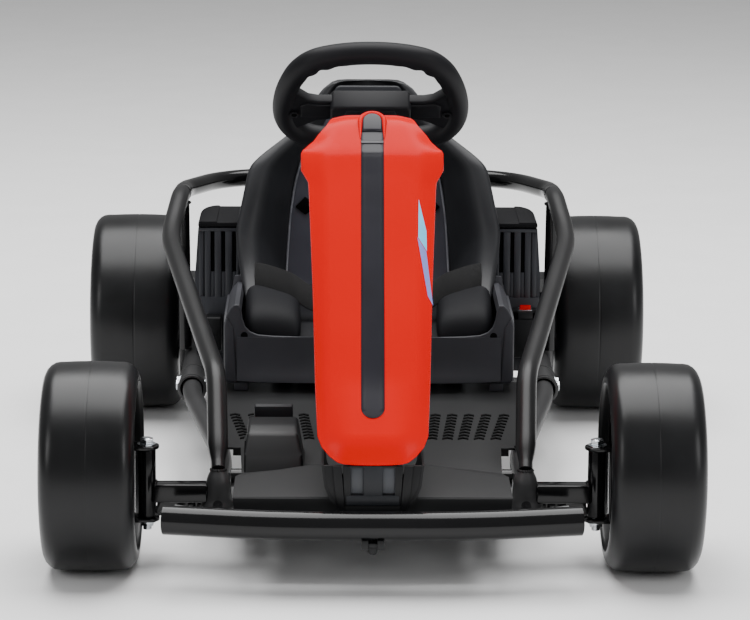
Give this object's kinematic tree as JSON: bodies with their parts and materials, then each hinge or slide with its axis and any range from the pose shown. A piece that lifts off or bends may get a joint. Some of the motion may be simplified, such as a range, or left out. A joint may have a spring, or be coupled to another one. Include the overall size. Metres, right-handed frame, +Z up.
{
  "type": "kart chassis",
  "caption": "Child-size battery drift kart: tubular frame with slick wheels, bucket seat, steering column, throttle pedal and red nose fairing.",
  "frame": {"origin": "centre of the bounding box's underside, on the ground between the wheels", "axes": "+X to the driver's left, -Y towards the nose, +Z up"},
  "size_m": [0.76, 1.0611, 0.5775],
  "materials": {
    "black_gloss_paint": "gloss powder coat",
    "grey_satin_paint": "satin powder coat",
    "zinc_steel": "zinc plated",
    "black_plastic": "satin moulded",
    "rim_plastic": "satin moulded",
    "tyre_rubber": "smooth slick tread",
    "red_gloss_plastic": "high gloss",
    "charcoal_trim": "semi gloss film",
    "seat_vinyl": "fine grained vinyl",
    "webbing": "woven webbing"
  },
  "bodies": {
    "chassis": {"rear_hoop": "black_gloss_paint", "side_bar_left": "black_gloss_paint", "side_bar_right": "black_gloss_paint", "front_bumper": "black_gloss_paint", "steering_support": "black_gloss_paint", "front_rail_left": "grey_satin_paint", "front_rail_right": "grey_satin_paint", "rear_sleeve_left": "grey_satin_paint", "rear_sleeve_right": "grey_satin_paint", "seat_cross_tube": "grey_satin_paint", "rear_cross_tube": "grey_satin_paint", "kingpin_bolt_left": "zinc_steel", "kingpin_bolt_right": "zinc_steel", "rear_wheel_nut_left": "zinc_steel", "rear_wheel_nut_right": "zinc_steel", "rear_axle": "zinc_steel", "motor_left": "zinc_steel", "motor_right": "zinc_steel", "bumper_clip": "black_plastic", "gearbox_left": "black_plastic", "gearbox_right": "black_plastic", "battery": "black_plastic", "floor_tray": "black_plastic", "column_cover": "black_plastic", "seat_shell": "black_plastic", "seat_skirt": "black_plastic", "belt_buckle": "black_plastic", "side_pod_left": "black_plastic", "side_pod_right": "black_plastic", "pod_lid_left": "black_plastic", "pod_lid_right": "black_plastic", "charge_port_box": "black_plastic", "switch_box": "black_plastic", "pedal_housing": "black_plastic", "front_fairing": "red_gloss_plastic", "fairing_stripe": "charcoal_trim", "seat_pad": "seat_vinyl", "lap_belt_left": "webbing", "lap_belt_right": "webbing"},
    "steering": {"steering_shaft": "zinc_steel", "steering_wheel_rim": "black_plastic", "steering_wheel_hub": "black_plastic"},
    "knuckle_left_body": {"knuckle_left": "black_gloss_paint", "front_wheel_nut_left": "zinc_steel"},
    "knuckle_right_body": {"knuckle_right": "black_gloss_paint", "front_wheel_nut_right": "zinc_steel"},
    "tie_rod_left_body": {"tie_rod_left": "zinc_steel"},
    "tie_rod_right_body": {"tie_rod_right": "zinc_steel"},
    "front_wheel_left": {"front_tyre_left": "tyre_rubber", "front_rim_left": "rim_plastic"},
    "front_wheel_right": {"front_tyre_right": "tyre_rubber", "front_rim_right": "rim_plastic"},
    "rear_wheel_left": {"rear_tyre_left": "tyre_rubber", "rear_rim_left": "rim_plastic"},
    "rear_wheel_right": {"rear_tyre_right": "tyre_rubber", "rear_rim_right": "rim_plastic"},
    "pedal": {"throttle_pedal": "black_plastic"},
    "belt_button": {"buckle_button": "red_gloss_plastic"},
    "switch": {"power_switch": "red_gloss_plastic"}
  },
  "joints": [
    {"name": "steering_turn", "type": "hinge", "parent": "chassis", "child": "steering", "pos_m": [0, -0.0195, 0.49], "axis": [0, 0.7431, 0.6691], "range_deg": [-25, 25]},
    {"name": "kingpin_left", "type": "hinge", "parent": "chassis", "child": "knuckle_left_body", "pos_m": [-0.262, -0.4045, 0.1], "axis": [0, 0, 1], "range_deg": [-15, 15]},
    {"name": "tie_rod_ball_left", "type": "hinge", "parent": "knuckle_left_body", "child": "tie_rod_left_body", "pos_m": [-0.244, -0.3625, 0.069], "axis": [0, 0, 1], "range_deg": [-15, 15]},
    {"name": "front_spin_left", "type": "hinge", "parent": "knuckle_left_body", "child": "front_wheel_left", "pos_m": [-0.325, -0.4045, 0.122], "axis": [1, 0, 0], "continuous": true},
    {"name": "rear_spin_left", "type": "hinge", "parent": "chassis", "child": "rear_wheel_left", "pos_m": [-0.319, 0.3955, 0.135], "axis": [1, 0, 0], "continuous": true},
    {"name": "kingpin_right", "type": "hinge", "parent": "chassis", "child": "knuckle_right_body", "pos_m": [0.262, -0.4045, 0.1], "axis": [0, 0, 1], "range_deg": [-15, 15]},
    {"name": "tie_rod_ball_right", "type": "hinge", "parent": "knuckle_right_body", "child": "tie_rod_right_body", "pos_m": [0.244, -0.3625, 0.069], "axis": [0, 0, 1], "range_deg": [-15, 15]},
    {"name": "front_spin_right", "type": "hinge", "parent": "knuckle_right_body", "child": "front_wheel_right", "pos_m": [0.325, -0.4045, 0.122], "axis": [1, 0, 0], "continuous": true},
    {"name": "rear_spin_right", "type": "hinge", "parent": "chassis", "child": "rear_wheel_right", "pos_m": [0.319, 0.3955, 0.135], "axis": [1, 0, 0], "continuous": true},
    {"name": "throttle_press", "type": "hinge", "parent": "chassis", "child": "pedal", "pos_m": [-0.118, -0.2805, 0.12], "axis": [1, 0, 0], "range_deg": [0, 16], "stiffness_Nm_per_rad": 0.6, "springref_deg": -17.19},
    {"name": "buckle_release", "type": "slide", "parent": "chassis", "child": "belt_button", "axis": [0, 1, 0], "range_m": [0, 0.003], "stiffness_N_per_m": 300, "springref_m": -0.003},
    {"name": "power_rocker", "type": "hinge", "parent": "chassis", "child": "switch", "pos_m": [0.212, 0.2045, 0.177], "axis": [1, 0, 0], "range_deg": [-6, 6]}
  ],
  "couplings": [
    {"joint": "kingpin_left", "follows": "steering_turn", "ratio": 0.6},
    {"joint": "tie_rod_ball_left", "follows": "steering_turn", "ratio": -0.6},
    {"joint": "kingpin_right", "follows": "steering_turn", "ratio": 0.6},
    {"joint": "tie_rod_ball_right", "follows": "steering_turn", "ratio": -0.6}
  ]
}
